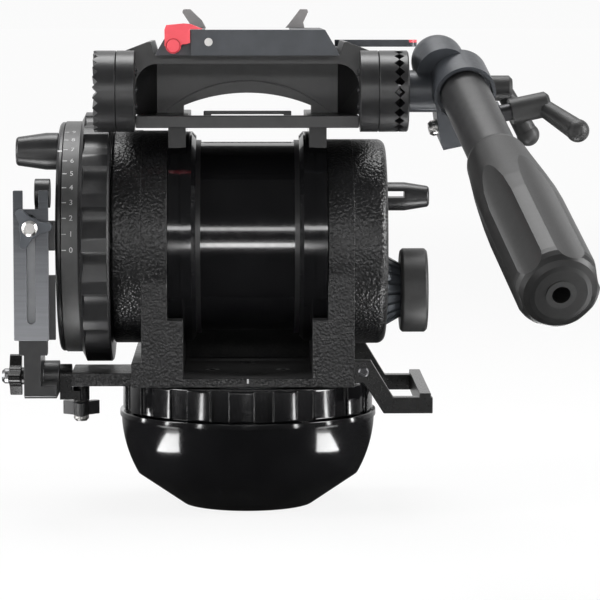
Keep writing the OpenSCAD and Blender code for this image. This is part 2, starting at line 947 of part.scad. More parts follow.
// One tilt collar on the +X side: a grooved disc with a foot under the platform
module collar() {
  seam_x = collar_in + collar_w * 0.54;
  seam_w = 0.7;
  seam_d = 0.8;
  chamfer = 2.4;
  chamfer_x = collar_in + chamfer;
  chamfer_r = collar_r - chamfer;
  foot_x = collar_in + collar_w * 0.36;
  step_z = tilt_z + platform_rise - 12;
  difference() {
    union() {
      at_tilt() {
        cone_x(chamfer_r, collar_r, collar_in, chamfer_x);
        rod_x(collar_r, chamfer_x, collar_out);
      }
      block([foot_x + 3, -foot_half, tilt_z + 40], [collar_out, foot_half, platform_z]);
      block([foot_x, -foot_half, step_z], [collar_out, foot_half, platform_z]);
    }
    at_tilt() {
      pipe_x(collar_r + 0.01, collar_r - seam_d, seam_x, seam_x + seam_w);
      rod_x(tilt_bearing_r, collar_in - 1, collar_out + 1);
    }
  }
}

module collar_left() {
  color([0.03, 0.03, 0.035])
    mirror([1, 0, 0])
      collar();
}

module collar_right() {
  color([0.03, 0.03, 0.035])
    collar();
}

module tilt_bearings() {
  color([0.55, 0.55, 0.57])
    at_tilt()
      for (s = [0, 1])
        mirror([s, 0, 0])
          pipe_x(tilt_bearing_r, shaft_r + run_fit, collar_in + 2, collar_out - 1);
}

module counterbalance_spring() {
  turns = 5;
  pitch = 8;
  disc_r = 44;
  core_r = shaft_r + 4;
  half = turns * pitch / 2;
  color([0.35, 0.35, 0.37])
    at_tilt() {
      pipe_x(core_r, shaft_r, -half, half);
      for (i = [0 : turns - 1])
        pipe_x(disc_r, core_r - 1, -half + i * pitch + 1, -half + i * pitch + pitch - 1);
    }
}

module platform_plate() {
  window_front = -42;
  window_rear = 44;
  bar_top = platform_z + 3.3;
  rail_half = 26.5;
  leg_w = 4.5;
  rail_low = platform_z + 4.4;
  rail_top = platform_z + 6.4;
  color([0.045, 0.045, 0.05]) {
    difference() {
      block([-plate_half_x, -plate_half_y, platform_z], [plate_half_x, plate_half_y, plate_top]);
      block([-window_half_x, window_front, platform_z - 1], [window_half_x, window_rear, plate_top + 1]);
      block([-window_half_x, 0, bar_top], [window_half_x, plate_half_y + 1, plate_top + 1]);
    }
    difference() {
      block([-rail_half, window_rear, bar_top - 1], [rail_half, plate_half_y, rail_top]);
      block([leg_w - rail_half, window_rear - 1, bar_top], [rail_half - leg_w, plate_half_y + 1, rail_low]);
    }
  }
}

// Cross-section of the platform casting in X and Z, without its arch
module deck_outline() {
  slope = 5.8;
  ridge = recept_half + 5.5;
  ridge_in = recept_half + 3.5;
  foot = recept_half + 1.2;
  polygon([
    [-cheek_out, plate_top], [-cheek_out, shoulder_z - slope], [-ridge, shoulder_z], [-ridge_in, shoulder_z],
    [-foot, seat_z], [foot, seat_z], [ridge_in, shoulder_z],
    [ridge, shoulder_z], [cheek_out, shoulder_z - slope], [cheek_out, plate_top]
  ]);
}

// Space under the deck between the cheeks, with rounded upper corners
module pocket_outline() {
  round_r = 13;
  translate([-cheek_in, plate_top - 1])
    square([2 * cheek_in, deck_under - round_r - plate_top + 1]);
  translate([-cheek_in + round_r, plate_top - 1])
    square([2 * (cheek_in - round_r), deck_under - plate_top + 1]);
  for (s = [-1, 1])
    translate([s * (cheek_in - round_r), deck_under - round_r])
      circle(r = round_r);
}

module platform_casting() {
  web_rear = web_y + web_t;
  arch_z = plate_top + arch_h - arch_r;
  rib_z = plate_top + rib_h - rib_r;
  rib_edge = 48;
  gusset = 11;
  color([0.05, 0.05, 0.055])
    difference() {
      union() {
        along_y(cheek_front, cheek_rear)
          difference() {
            deck_outline();
            pocket_outline();
          }
        along_y(web_y, web_rear)
          intersection() {
            deck_outline();
            translate([-cheek_in - 1, plate_top])
              square([2 * cheek_in + 2, deck_under - plate_top + 1]);
          }
        along_y(web_y - rib_out, web_y + 1)
          intersection() {
            translate([0, rib_z])
              circle(r = rib_r);
            translate([-rib_edge, plate_top])
              square([2 * rib_edge, rib_h + 1]);
          }
        for (s = [0, 1])
          mirror([s, 0, 0]) {
            at_rosette()
              rod_x(rosette_r, boss_in, boss_out);
            translate([0, 0, plate_top])
              linear_extrude(height = deck_under - plate_top + 1)
                polygon([
                  [cheek_in + 1, web_y - 3 * gusset], [cheek_in + 1, web_y + 1],
                  [cheek_in - gusset, web_y + 1], [cheek_in - gusset, web_y], [cheek_in, web_y - 3 * gusset]
                ]);
          }
      }
      along_y(web_y - rib_out - 1, web_rear + 1)
        intersection() {
          translate([0, arch_z])
            circle(r = arch_r);
          translate([-arch_half, plate_top - 1])
            square([2 * arch_half, arch_h + 2]);
        }
    }
}

module platform_screws() {
  head_r = 2;
  head_h = 1.2;
  inset = 8;
  color([0.35, 0.35, 0.37])
    for (s = [0, 1])
      mirror([s, 0, 0])
        at_rosette()
          for (z = [-9, 0.5, 10.5])
            translate([boss_in, inset, z])
              rotate([0, 0, 180])
                button_head_x(head_r, 0, head_h, 0.9);
}

module rosette_left() {
  color([0.05, 0.05, 0.055])
    mirror([1, 0, 0])
      at_rosette()
        difference() {
          toothed_disc(boss_out, rosette_out);
          rod_x(accessory_r, rosette_floor - accessory_depth, rosette_out + 1);
        }
}

module rosette_right() {
  color([0.05, 0.05, 0.055])
    at_rosette()
      difference() {
        toothed_disc(boss_out, rosette_right_out);
        rod_x(accessory_r, boss_out + 3, rosette_right_out + 1);
      }
}

module plate_receptacle() {
  foot_w = recept_half;
  color([0.25, 0.27, 0.3])
    difference() {
      union() {
        along_y(-recept_front, recept_rear)
          polygon([
            [-foot_w, seat_z], [foot_w, seat_z], [foot_w, seat_z + 1.5],
            [recept_top_half, recept_top], [-recept_top_half, recept_top], [-foot_w, seat_z + 1.5]
          ]);
        block([recept_top_half - 8, lock_y - 8, seat_z], [lock_x + 6, lock_y + 8, lock_z - seat_gap]);
        translate([lock_x, lock_y, seat_z])
          cylinder(r = lock_pin_r, h = lock_z + lock_t - seat_z);
        translate([release_x, 0, release_z])
          rod_y(release_pin_r, release_back - release_pin_len, release_back + 1);
      }
      along_y(-recept_front + end_wall, recept_rear + 1)
        polygon([
          [-channel_half - channel_undercut, channel_z], [channel_half + channel_undercut, channel_z],
          [channel_half, recept_top + 1], [-channel_half, recept_top + 1]
        ]);
      difference() {
        block([-foot_w - 1, -recept_front - 1, seat_z - 1], [release_edge, release_back, recept_top + 1]);
        translate([release_x, 0, release_z])
          rod_y(release_pin_r, release_back - release_pin_len, release_back + 1);
      }
      translate([0, -recept_front, 0])
        translate([-22, 0, seat_z + 7.7])
          rod_y(1.5, -1, 6);
    }
}

module guide_horns() {
  horn_t = 6;
  y1 = recept_rear;
  y0 = y1 - horn_t;
  top = recept_top;
  tall = 11.3;
  color([0.45, 0.44, 0.44])
    translate([0, 0, top]) {
      along_y(y0, y1)
        polygon([
          [-33, 0], [-25.2, 0], [-27.6, 4.5], [-34.7, tall], [-38.8, tall], [-39.6, tall - 1.8], [-35.3, 3]
        ]);
      along_y(y0, y1)
        polygon([
          [23.1, 0], [34.8, 0], [34.1, 3.3], [37, tall - 1.8], [36.5, tall], [32.1, tall], [25.1, 2.2]
        ]);
    }
}

module receptacle_screw() {
  head_r = 2.3;
  head_h = 0.9;
  slot_w = 0.6;
  slot_turn = -65;
  color([0.7, 0.7, 0.72])
    translate([-22, -recept_front, seat_z + 7.7])
      difference() {
        union() {
          rod_y(head_r, -head_h, 0);
          rod_y(1.5, -eps, 5);
        }
        rotate([0, slot_turn, 0])
          block([-head_r - 1, -head_h - 1, -slot_w / 2], [head_r + 1, -head_h / 2, slot_w / 2]);
      }
}

// Cutter for one finger pocket at the top of the dial: long ramp, flat floor, steep wall
module dial_pocket() {
  half = dial_r * sin(pocket_deg / 2);
  edge_z = dial_r * cos(pocket_deg / 2);
  floor_r = dial_r - pocket_depth;
  rise = edge_z - floor_r;
  over = dial_r + 3;
  floor_y0 = -0.05 * half;
  floor_y1 = 0.62 * half;
  ramp = (half + floor_y0) / rise;
  wall = (half - floor_y1) / rise;
  end_x0 = dial_left + 3.1;
  end_x1 = dial_x - 1.3;
  intersection() {
    along_x(dial_left - 1, dial_x)
      polygon([
        [floor_y0 - ramp * (over - floor_r), over], [floor_y0, floor_r],
        [floor_y1, floor_r], [floor_y1 + wall * (over - floor_r), over]
      ]);
    along_y(-dial_r / 2, dial_r / 2)
      polygon([
        [end_x0, floor_r - 1], [end_x0, floor_r], [end_x0 - 2.2, over + 1],
        [end_x1, over + 1], [end_x1, floor_r - 1]
      ]);
  }
}

module dial_grip_ring() {
  bevel_x = 2.4;
  bevel_r = dial_r - 4.9;
  rim = 1;
  first_pocket = 79.2;
  color([0.05, 0.05, 0.055])
    at_tilt()
      difference() {
        turn_x(360)
          polygon([
            [dial_bore, dial_left], [bevel_r, dial_left], [dial_r, dial_left + bevel_x],
            [dial_r, dial_x - rim], [dial_r - rim, dial_x], [dial_bore, dial_x]
          ]);
        for (i = [0 : dial_pockets - 1])
          rotate([first_pocket + i * 360 / dial_pockets, 0, 0])
            dial_pocket();
      }
}

module dial_scale_ring() {
  color([0.05, 0.05, 0.055])
    at_tilt()
      pipe_x(scale_r, dial_bore, scale_left, dial_left);
}

module counterbalance_knob() {
  straight = 7;
  tip_r = cb_knob_r - 2.4;
  edge = 1;
  x0 = cb_x - cb_knob_len;
  color([0.06, 0.06, 0.065])
    translate([0, cb_y, cb_z]) {
      cone_x(tip_r - edge, tip_r, x0, x0 + edge);
      cone_x(tip_r, cb_knob_r, x0 + edge, cb_x - straight);
      rod_x(cb_knob_r, cb_x - straight, cb_x);
      rod_x(stem_r, cb_x - eps, sleeve_left + stem_len - seat_gap);
    }
}

module tilt_lock_knob() {
  straight = 11.3;
  tip_r = lock_knob_r - 2.2;
  edge = 1;
  x0 = lock_knob_x;
  x1 = x0 + lock_knob_len;
  color([0.06, 0.06, 0.065])
    translate([0, 0, lock_knob_z]) {
      difference() {
        union() {
          rod_x(lock_knob_r, x0, x0 + straight);
          cone_x(lock_knob_r, tip_r, x0 + straight, x1 - edge);
          cone_x(tip_r, tip_r - edge, x1 - edge, x1);
        }
        block([x0 - 1, -lock_knob_r - 1, -0.4], [x0 + straight, lock_knob_r + 1, lock_slot - 0.4]);
      }
      difference() {
        rod_x(stem_r, housing_r - stem_len + seat_gap, x0 + 2);
        block([x0, -stem_r - 1, -0.4], [x0 + straight, stem_r + 1, stem_r + 1]);
      }
    }
}

module drag_knob() {
  edge = 1.5;
  x1 = drag_disc_x + drag_knob_t;
  color([0.05, 0.05, 0.05])
    translate([0, 0, drag_knob_z]) {
      cone_x(drag_knob_r - edge, drag_knob_r, drag_disc_x, drag_disc_x + edge);
      rod_x(drag_knob_r, drag_disc_x + edge, x1 - edge);
      cone_x(drag_knob_r, drag_knob_r - edge, x1 - edge, x1);
    }
}

module drag_knob_hub() {
  big_r = 21;
  small_r = 16;
  rib_r = 1.2;
  color([0.06, 0.06, 0.06])
    translate([0, 0, drag_knob_z]) {
      difference() {
        cone_x(big_r, small_r, drag_hub_x, drag_disc_x);
        for (i = [0 : drag_ribs - 1])
          rotate([i * 360 / drag_ribs, 0, 0])
            translate([drag_hub_x - 1, 0, big_r + 0.4])
              rotate([0, 90 + atan((big_r - small_r) / drag_hub_len), 0])
                cylinder(r = rib_r, h = drag_hub_len * 2);
      }
      rod_x(stem_r, housing_r - stem_len + seat_gap, drag_hub_x + eps);
    }
}

// Front outline of the red release lever in X and Z, about its pivot
module release_outline() {
  side = release_edge - release_x - seat_gap;
  polygon([
    [-4.9, 0], [-5, 9], [-4, 11.7], [5.7, 12.6], [9.7, 12.3], [16.5, release_over + 0.3],
    [16.5, release_over], [side, release_over], [side, 1.6], [7.4, 0.9], [4.9, 0.7], [2.9, -2.5]
  ]);
}

module release_lever() {
  color([0.85, 0.1, 0.12])
    translate([release_x, 0, release_z])
      difference() {
        union() {
          along_y(release_front, release_back - seat_gap)
            release_outline();
          rod_y(release_end_r, release_front, release_back - seat_gap);
        }
        rod_y(release_pin_r + run_fit, release_back - release_pin_len - seat_gap, release_back);
        rod_y(release_button_r + seat_gap, release_front - 1, release_front + button_well);
      }
}

module release_button() {
  color([0.85, 0.1, 0.12])
    translate([release_x, 0, release_z])
      rod_y(release_button_r, release_front - button_proud, release_front + button_root);
}

module plate_lock_lever() {
  color([0.28, 0.31, 0.36])
    translate([lock_x, lock_y, lock_z])
      difference() {
        union() {
          cylinder(r = lock_w / 2, h = lock_t);
          block([0, -lock_w / 2, 0], [lock_len, lock_w / 2, lock_t]);
          translate([lock_len, 0, 0])
            cylinder(r = lock_w / 2, h = lock_t);
        }
        translate([0, 0, -1])
          cylinder(r = lock_pin_r + run_fit, h = lock_t + 2);
        block([lock_len, -lock_w, lock_t - tip_t], [lock_len + lock_w, lock_w, lock_t + 1]);
      }
}

module plate_lock_tip() {
  color([0.85, 0.1, 0.12])
    translate([lock_x + lock_len, lock_y, lock_z + lock_t - tip_t])
      intersection() {
        cylinder(r = lock_w / 2, h = tip_t);
        block([0, -lock_w, -1], [lock_w, lock_w, tip_t + 1]);
      }
}

module handle_rosette() {
  color([0.06, 0.06, 0.065])
    at_rosette()
      difference() {
        translate([handle_ros_x + cross_x, 0, 0])
          mirror([1, 0, 0])
            toothed_disc(handle_ros_x, cross_x);
        rod_x(accessory_r, handle_ros_x - 1, cross_x + 1);
      }
}

module rosette_bolt() {
  color([0.5, 0.5, 0.52])
    at_rosette()
      rod_x(accessory_r - run_fit, boss_out + 4, cross_x + stem_len);
}

module handle_bracket() {
  lug_right = 10;
  lug_half = 8;
  lug_front = bolt_t + lug_half;
  lug_rear = bolt_t - lug_half;
  lug_edge = 4;
  mouth = 2.5;
  color([0.05, 0.05, 0.055])
    difference() {
      union() {
        at_rosette()
          rod_x(cross_r, cross_x, cross_end);
        at_clamp() {
          translate([0, 0, clamp_back_t])
            cylinder(r = clamp_r, h = clamp_len);
          translate([0, 0, lug_rear])
            linear_extrude(height = lug_front - lug_rear)
              polygon([
                [lug_left, lug_low + lug_edge], [lug_left + 1, lug_low], [lug_right, lug_low],
                [lug_right, -tube_r / 2], [lug_left, -tube_r / 2]
              ]);
        }
        at_handle()
          translate([dome_side, dome_up, -dome_back]) {
            cylinder(r = dome_r, h = dome_back + clamp_back_t + 5);
            sphere(r = dome_r);
          }
        at_bolt()
          rod_x(lever_hub_r, 0, bolt_boss_x);
        translate([0, rear_lever[1], rear_lever[2]])
          rod_x(lever_hub_r, knuckle_x, rear_lever[0]);
        block([knuckle_x, -rosette_front, rosette_z - 7], [clamp_x + 3, rear_lever[1], rosette_z + 7]);
      }
      at_handle() {
        translate([0, 0, -tube_back - seat_gap])
          cylinder(r = tube_bore, h = tube_back + 20);
        translate([0, 0, clamp_front_t - mouth])
          cylinder(r = tube_r + 1.8, h = mouth + 20);
      }
      at_rosette()
        rod_x(accessory_r - run_fit, cross_x - 1, cross_x + stem_len);
      at_bolt()
        rod_x(stud_r + run_fit, bolt_boss_x - stem_len, bolt_boss_x + 1);
      translate([0, rear_lever[1], rear_lever[2]])
        rod_x(stud_r + run_fit, rear_lever[0] - stem_len, rear_lever[0] + 1);
    }
}

module clamp_screw() {
  color([0.75, 0.75, 0.77])
    at_bolt()
      translate([lug_left, 0, 0])
        rotate([0, 0, 180])
          button_head_x(clamp_head_r, 0, clamp_head_h, 2);
}

module handle_tube() {
  bore_r = tube_r - 2;
  color([0.05, 0.05, 0.055])
    at_handle()
      pipe_z(tube_r, bore_r, -tube_back, grip_start + 40);
}

module handle_grip() {
  l = grip_len;
  n = grip_neck_r;
  g = grip_r;
  flute_r = 24;
  first_flute = 78;
  seat_len = 40;
  color([0.04, 0.04, 0.04])
    at_handle()
      translate([0, 0, grip_start])
        difference() {
          rotate_extrude()
            polygon([
              [0, 0], [n - 3, 0], [n - 2, 1.2], [n - 0.8, 3.5], [n, 7], [n + (g - n) * 0.11, 14],
              [n + (g - n) * 0.36, 28], [n + (g - n) * 0.64, 43], [n + (g - n) * 0.88, 58], [g, 74],
              [g, l - 10], [g - 0.5, l - 7], [g - 1.6, l - 4.2], [g - 3.6, l - 1.9], [g - 6.6, l - 0.4],
              [g - 9, l], [0, l]
            ]);
          translate([0, 0, -1])
            cylinder(r = tube_r, h = seat_len + 1);
          translate([0, 0, l - 14])
            cylinder(r = grip_hole_r, h = 15);
          translate([0, 0, l - 1.4])
            cylinder(r = grip_hole_r + 3.1, h = 3);
          for (i = [0 : grip_flutes - 1])
            rotate([0, 0, first_flute + i * 360 / grip_flutes])
              translate([g + flute_r - flute_depth, 0, 10])
                cylinder(r = flute_r, h = l);
        }
}

module grip_end_ring() {
  color([0.12, 0.12, 0.12])
    at_handle()
      pipe_z(grip_hole_r + 3.1, grip_hole_r, grip_end - 1.4, grip_end + 0.4);
}

module clamp_lever() {
  turn = -75.8;
  color([0.05, 0.05, 0.055])
    at_bolt()
      translate([front_hub_x, 0, 0])
        rotate([turn, 0, 0])
          clamp_handle(front_hub_len);
}

module clamp_lever_stud() {
  color([0.75, 0.75, 0.77])
    at_bolt() {
      rod_x(stud_r, bolt_boss_x - stem_len + seat_gap, front_hub_x);
      rod_x(stud_collar_r, bolt_boss_x + seat_gap, front_hub_x);
    }
}

module knuckle_lever() {
  turn = 90;
  color([0.05, 0.05, 0.055])
    translate([rear_hub_x, rear_lever[1], rear_lever[2]])
      rotate([turn, 0, 0])
        clamp_handle(rear_hub_len);
}

module knuckle_stud() {
  color([0.75, 0.75, 0.77])
    translate([0, rear_lever[1], rear_lever[2]])
      rod_x(stud_r, rear_lever[0] - stem_len + seat_gap, rear_hub_x);
}

module leveller_arm() {
  column_w = 9.6;
  arm_drop = 9.5;
  lip_drop = 2;
  arm_rise = 12;
  low = swing_z - arm_drop;
  lip_top = swing_z - lip_drop;
  top = swing_z + arm_rise;
  barrel_hub_r = 9;
  post_l = slider_x - 7.6;
  post_r = slider_x + 8.6;
  ear = arm_r - seat_gap;
  color([0.06, 0.06, 0.065])
    difference() {
      union() {
        along_x(arm_l, arm_l + column_w)
          polygon([
            [post_front, low + 1.5], [post_front + 3, low], [swing_y + 8, low], [swing_y + 11, low + 3.5],
            [swing_y + 11, swing_z + 6], [swing_y + 6, top], [post_back, top],
            [post_back, slider_z], [post_front, slider_z]
          ]);
        along_x(arm_l, arm_r)
          polygon([
            [post_front, low + 1.5], [post_front + 3, low], [swing_y + 8, low], [swing_y + 8, lip_top],
            [post_front, lip_top]
          ]);
        translate([0, swing_y, swing_z])
          rod_x(barrel_hub_r, arm_l, arm_r);
        block([post_l, post_front, slider_z - 9], [post_r, post_back, slot_high + 4]);
        block([post_l, post_front, slider_z], [ear, post_front + 3, slider_z + 37]);
        block([post_l, post_front, slider_z + 51], [ear, post_front + 3, slider_z + 68]);
        translate([0, barrel_y, barrel_z])
          rod_x(barrel_r, slider_x + 1.8, slider_x + 10.4);
        block([slider_x + 1.8, barrel_y - 4, slot_high], [post_r, barrel_y + 4, barrel_z]);
      }
      translate([0, swing_y, swing_z])
        rod_x(swing_bolt_r + run_fit, arm_l - 1, arm_r + 1);
      translate([slider_x, 0, 0])
        block([-strip_half, post_front - 1, strip_low], [strip_half, post_front + strip_t, strip_high]);
      translate([slider_x, 0, knob_z])
        rod_y(knob_stud_r + run_fit, post_front - 1, post_back - 1.5);
    }
}

module guide_strip() {
  color([0.35, 0.37, 0.4])
    difference() {
      translate([slider_x, 0, 0])
        block([-strip_half, post_front, strip_low], [strip_half, post_front + strip_t, strip_high]);
      translate([slider_x, 0, knob_z])
        rod_y(knob_stud_r + run_fit, post_front - 1, post_front + strip_t + 1);
    }
}

module leveller_plate() {
  half = slider_w / 2;
  corner = 0.5;
  color([0.6, 0.62, 0.66])
    along_y(slider_front, slider_back)
      translate([slider_x, 0])
        difference() {
          union() {
            translate([-half, slider_z + corner])
              square([slider_w, slider_len - 2 * corner]);
            translate([-half + corner, slider_z])
              square([slider_w - 2 * corner, slider_len]);
            for (x = [-half + corner, half - corner])
              for (z = [slider_z + corner, slider_top - corner])
                translate([x, z])
                  circle(r = corner);
          }
          translate([-notch_w / 2, slider_top - notch_depth])
            square([notch_w, notch_depth + 1]);
          translate([-slider_slot / 2, slot_low])
            square([slider_slot, slot_high - slot_low]);
          for (z = [slot_low, slot_high])
            translate([0, z])
              circle(r = slider_slot / 2);
        }
}

module plate_knob() {
  color([0.35, 0.38, 0.42])
    difference() {
      translate([slider_x, 0, knob_z])
        along_y(plate_knob_y - plate_knob_t, plate_knob_y)
          three_lobes(lobe_reach, 6);
      translate([slider_x, 0, knob_z])
        rod_y(knob_stud_r, plate_knob_y - plate_knob_t - 1, plate_knob_y + 1);
    }
}

module plate_knob_screw() {
  y0 = plate_knob_y - plate_knob_t;
  color([0.78, 0.78, 0.8])
    translate([slider_x, 0, knob_z]) {
      translate([0, y0, 0])
        rotate([0, 0, -90])
          button_head_x(button_head_r, 0, 2.6, 2);
      rod_y(knob_stud_r, y0 - eps, post_back - 1.5 - seat_gap);
    }
}

module arm_knob() {
  color([0.35, 0.38, 0.42])
    translate([0, swing_y, swing_z])
      difference() {
        union() {
          along_x(arm_knob_r - 7, arm_knob_r)
            rotate(176)
              three_lobes(lobe_reach + 0.8, 6);
          rod_x(5, arm_knob_r - eps, arm_l - seat_gap);
        }
        rod_x(swing_bolt_r, arm_knob_r - 8, arm_l + 1);
      }
}

module arm_knob_screw() {
  color([0.78, 0.78, 0.8])
    translate([0, swing_y, swing_z]) {
      translate([arm_knob_r - 7, 0, 0])
        rotate([0, 0, 180])
          button_head_x(button_head_r, 0, 4.2, 2);
      rod_x(swing_bolt_r, arm_knob_r - 7 - eps, tongue_x - seat_gap);
    }
}

module foot_wing() {
  wing_h = 7.7;
  hub_h2 = 0.8;
  color([0.06, 0.06, 0.065])
    translate([wing_x, wing_y, 0])
      difference() {
        union() {
          translate([0, 0, wing_top - hub_h2 - wing_h])
            linear_extrude(height = wing_h)
              rotate(-94)
                three_lobes(lobe_reach - 0.8, 5);
          translate([0, 0, wing_top - hub_h2 - eps])
            cylinder(r = 4.6, h = hub_h2 + eps);
        }
        translate([0, 0, wing_top - hub_h2 - wing_h - 1])
          cylinder(r = stem_r, h = wing_h + hub_h2 + 2);
      }
}

module foot_wing_screw() {
  low = wing_top - 8.5;
  color([0.78, 0.78, 0.8])
    translate([wing_x, wing_y, 0]) {
      translate([0, 0, low])
        rotate([0, 90, 0])
          button_head_x(button_head_r, 0, 3.6, 2);
      translate([0, 0, low - eps])
        cylinder(r = stem_r, h = yoke_z + 3.6 - low);
    }
}

ball_base();
pan_spindle();
pan_bearing();
pan_fluid_cup();
pan_drag_ring();
yoke_casting();
yoke_bolts();
pan_fluid_rotor();
left_housing();
dial_end_cap();
right_housing();
tilt_shaft();
carry_handle();
carry_handle_screws();
leveller_foot();
tilt_drum();
drum_rings();
collar_left();
collar_right();
tilt_bearings();
counterbalance_spring();
platform_plate();
platform_casting();
platform_screws();
rosette_left();
rosette_right();
plate_receptacle();
guide_horns();
receptacle_screw();
dial_grip_ring();
dial_scale_ring();
counterbalance_knob();
tilt_lock_knob();
drag_knob();
drag_knob_hub();
release_lever();
release_button();
plate_lock_lever();
plate_lock_tip();
handle_rosette();
handle_bracket();
clamp_screw();
rosette_bolt();
handle_tube();
handle_grip();
grip_end_ring();
clamp_lever();
clamp_lever_stud();
knuckle_lever();
knuckle_stud();
leveller_arm();
guide_strip();
leveller_plate();
plate_knob();
plate_knob_screw();
arm_knob();
arm_knob_screw();
foot_wing();
foot_wing_screw();
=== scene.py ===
"""Looks of the fluid video head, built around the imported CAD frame."""

import json
import math

import bpy
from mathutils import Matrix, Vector


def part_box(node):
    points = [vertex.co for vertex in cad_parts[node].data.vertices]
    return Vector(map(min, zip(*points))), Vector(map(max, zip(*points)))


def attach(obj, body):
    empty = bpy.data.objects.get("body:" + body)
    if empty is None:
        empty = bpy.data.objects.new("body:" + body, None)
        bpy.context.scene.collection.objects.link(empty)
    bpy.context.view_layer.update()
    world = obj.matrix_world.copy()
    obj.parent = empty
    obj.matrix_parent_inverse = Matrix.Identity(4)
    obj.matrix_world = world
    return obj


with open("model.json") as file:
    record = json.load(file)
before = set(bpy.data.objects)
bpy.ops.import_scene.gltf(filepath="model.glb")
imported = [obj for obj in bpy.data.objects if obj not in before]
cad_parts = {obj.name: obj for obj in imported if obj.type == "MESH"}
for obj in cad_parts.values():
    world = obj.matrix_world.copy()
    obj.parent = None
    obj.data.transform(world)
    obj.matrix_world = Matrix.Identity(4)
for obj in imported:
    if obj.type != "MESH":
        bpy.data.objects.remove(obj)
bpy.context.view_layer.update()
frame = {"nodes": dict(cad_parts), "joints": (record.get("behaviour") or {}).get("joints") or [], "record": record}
nodes = frame["nodes"]
slot_of = {s["node"]: s["material_slot"] for s in frame["record"]["subparts"]}
joints = {j["name"]: j for j in frame["joints"]}

MM = 0.001
X, Y, Z = range(3)
AXIS = ((1, 0, 0), (0, 1, 0), (0, 0, 1))

# Places taken from the frame, in mm

scale_low, scale_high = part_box("dial_scale_ring")
cap_low, cap_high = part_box("dial_end_cap")
TILT_Z = joints["tilt"]["pos_m"][Z] / MM
SCALE_LEFT = scale_low[X] / MM
SCALE_R = TILT_Z - scale_low[Z] / MM
CAP_LEFT = cap_low[X] / MM
CAP_RIGHT = cap_high[X] / MM
CAP_R = TILT_Z - cap_low[Z] / MM

# Front of the yoke's floor, and the saddle between its uprights, in mm

YOKE_FRONT = -58.0
SADDLE_FRONT = -55.0
SADDLE_HALF = 46.0

# Painted marks, in mm and degrees: how far they stand proud, their sizes and their margins

TICK_LIFT = 0.04
MARK_LIFT = 0.05
PAN_MARK_LIFT = 0.03
DIGITS = 10
DIGIT_START = -2.3
DIGIT_STEP = 7.7
DIGIT_SIZE = 4.4
DIGIT_IN = 5.6
TICK_IN = 0.3
TICK_LONG = 2.5
TICK_HALF_DEG = 0.22
CAP_MARK_DEG = (50.4, 51.6)
CAP_MARK_IN_LEFT = 0.5
CAP_MARK_IN_RIGHT = 0.2
PAN_MARK_Z = (77.4, 80.0)
PAN_MARK_HALF = 0.5

# Rounding of sharp edges: what is welded and flattened first, and which edges count as sharp

WELD_MM = 0.005
FLAT_DEG = 0.5
SHARP_DEG = 35
EDGE_SEGMENTS = 3

# Finishes: where colour ramps turn, and the grain that the plain ones share

RAMP = (0.35, 0.65)
NOISE_DETAIL = 3.0
NOISE_SPREAD = (0.3, 0.7)
BLOTCH_SHARE = 0.2
GRAIN_BUMP = 0.6
COAT_ROUGH = 0.06

# Wrinkle paint: cells and warp per metre, sizes in metres

WRINKLE_CELLS = 640
WRINKLE_SOFT = 0.7
WRINKLE_WARP = 420
WRINKLE_PUSH = 0.002
WRINKLE_EDGE = (0.1, 0.7)
# Colours of the wrinkles: the creases are painted darker than the crests, a painted shade
WRINKLE_CREASE_SHADE = (0.0056, 0.0056, 0.006)
WRINKLE_CREST = (0.011, 0.011, 0.0116)
WRINKLE_ROUGH = (0.3, 0.4)
WRINKLE_ROUGH_SCALE = 90
WRINKLE_SHINE = 0.7
WRINKLE_BUMP = 0.75
WRINKLE_RISE = 0.0004
SADDLE_DULL = 0.5

# Brushed plate: brush lines per metre, and its painted shading: heights in metres between which it turns paler

BRUSH_SCALE = 700
BRUSH_STRETCH = (0.05, 1, 1)
BRUSH_SWING = 0.025
SHADING_HEIGHTS = (0.1, 0.19)
SHADING_LEVELS = (0.64, 0.34)
# Ends of the plate's colour ramp: the painted shading runs between them, with a little brush on top
SHADED_PLATE_DARK = (0.049, 0.053, 0.059)
SHADED_PLATE_PALE = (0.24, 0.245, 0.26)
BRUSH_ROUGH = (0.3, 0.42)
BRUSH_METALLIC = 0.4

# Floor and backdrop, in metres: their white, and how much of it the camera and reflections see where

BACKDROP = 0.96
WORLD_DIM = 0.05
BEHIND_SPREAD = (0.35, 0.8)
FLOOR_SIZE = 60
FLOOR_Z = -0.0005
FLOOR_DARK = (0.9, 0.9, 0.9)
FLOOR_LIGHT = (0.93, 0.93, 0.93)
FLOOR_BLOTCHES = 3
FLOOR_ROUGH = 0.9
FLOOR_SHARE = (0.86, 0.965)
FLOOR_SHARE_AT = (0.4, 2.5)
MIRROR_FAR = (0.015, 0.7)
MIRROR_FAR_AT = (0.55, 1.3)
MIRROR_BEHIND_AT = (0.15, 0.7)

# Lamps, in metres and watts: place, what it points at, width, height, power

HEAD_MIDDLE = (0, 0, 0.15)
LAMPS = {
    "side_left": ((-1.3, -0.45, 0.5), HEAD_MIDDLE, 0.35, 1.2, 19),
    "side_right": ((1.3, -0.45, 0.5), HEAD_MIDDLE, 0.35, 1.2, 19),
    "front_strip": ((0, -1.75, 0.56), (0, 0, 0.16), 1.6, 0.12, 5),
    "front_low": ((0, -1.05, 0.046), (0, 0, 0.046), 0.097, 0.09, 0.38),
    "top": ((0, 0.35, 1.7), HEAD_MIDDLE, 1.3, 0.75, 21),
}

# Small lamps that lie on the floor facing up, in pairs, at these turns in degrees from straight ahead

LOW_LAMP_Z = 0.003
BALL_LAMP_TURNS = (62,)
BALL_LAMP = {"near": 0.125, "far": 0.225, "width": 0.05, "watts": 0.2}
RING_LAMP_TURNS = (40, 71, 100)
RING_LAMP = {"near": 0.4, "far": 0.65, "width": 0.025, "watts": 0.3}

# Camera, in metres; lens and sensor in mm

CAMERA_PLACE = (0, -1.8, 0.297)
CAMERA_AIM = (0.01721, 1, -0.09833)
CAMERA_LENS = 183.06
CAMERA_SENSOR = 36
CAMERA_FAR = 200


# Node helpers for the procedural materials

